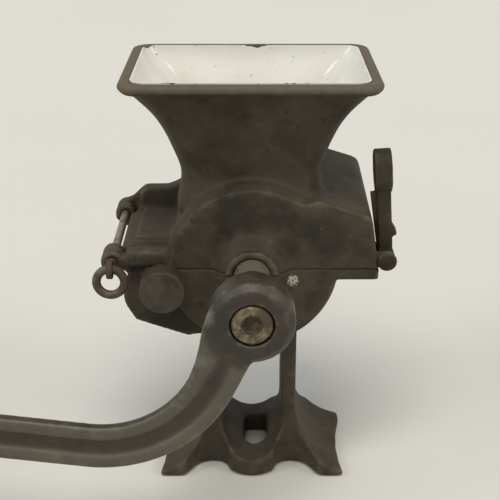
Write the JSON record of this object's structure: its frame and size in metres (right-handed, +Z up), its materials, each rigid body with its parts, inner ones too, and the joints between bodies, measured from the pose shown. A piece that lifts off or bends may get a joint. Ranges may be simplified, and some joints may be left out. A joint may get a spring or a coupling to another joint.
{
  "type": "hand crank meat grinder",
  "caption": "Antique cast-iron meat grinder on a two-legged stand: hinged split casing with enamelled hopper, pegged drum past fixed knives, curved crank with wooden grip.",
  "frame": {"origin": "middle of the stand's base on the table plane, under the bench bolt slot", "axes": "+Z up, shaft along Y with the crank at -Y, hinge at -X, latch at +X"},
  "size_m": [0.2686, 0.2825, 0.249],
  "materials": {
    "casing_iron": "old dark brown-black cast iron, worn and oily",
    "crank_iron": "old cast iron, rubbed lighter on the edges",
    "drum_iron": "tinned cast iron, dulled",
    "latch_iron": "dark oiled iron",
    "enamel": "off-white vitreous enamel with chips and stains",
    "worn_steel": "worn, lightly rusted steel",
    "ring_iron": "reddish-brown wrought iron",
    "blade_steel": "ground steel",
    "screw_brass": "dull brass",
    "grip_wood": "dark varnished hardwood"
  },
  "bodies": {
    "stand": {"lower_casing": "casing_iron", "hinge_pin": "worn_steel", "knife_blades": "blade_steel", "knife_spacers": "worn_steel", "knife_bolt": "latch_iron", "knife_washer": "worn_steel", "knife_nut": "worn_steel"},
    "upper": {"upper_casing": "casing_iron", "hopper_lining": "enamel", "latch_pin": "latch_iron"},
    "crank": {"drive_shaft": "worn_steel", "feed_drum": "drum_iron", "drum_pin": "worn_steel", "crank_arm": "crank_iron", "crank_washer": "worn_steel", "crank_screw": "screw_brass", "grip_spindle": "worn_steel", "grip_washer": "worn_steel"},
    "grip": {"grip": "grip_wood"},
    "latch": {"latch_lever": "latch_iron"},
    "ring": {"pull_ring": "ring_iron"}
  },
  "joints": [
    {"name": "crank_turn", "type": "hinge", "parent": "stand", "child": "crank", "pos_m": [0, -0.043, 0.142], "axis": [0, 1, 0], "continuous": true},
    {"name": "grip_spin", "type": "hinge", "parent": "crank", "child": "grip", "pos_m": [-0.172, -0.17, 0.0806], "axis": [0, 1, 0], "continuous": true},
    {"name": "casing_open", "type": "hinge", "parent": "stand", "child": "upper", "pos_m": [-0.079, 0, 0.145], "axis": [0, -1, 0], "range_deg": [0, 110]},
    {"name": "latch_swing", "type": "hinge", "parent": "upper", "child": "latch", "pos_m": [0.0759, -0.03, 0.1462], "axis": [0, 1, 0], "range_deg": [0, 180]},
    {"name": "ring_swing", "type": "hinge", "parent": "stand", "child": "ring", "pos_m": [-0.079, -0.049, 0.145], "axis": [1, 0, 0], "range_deg": [-25, 25]}
  ]
}
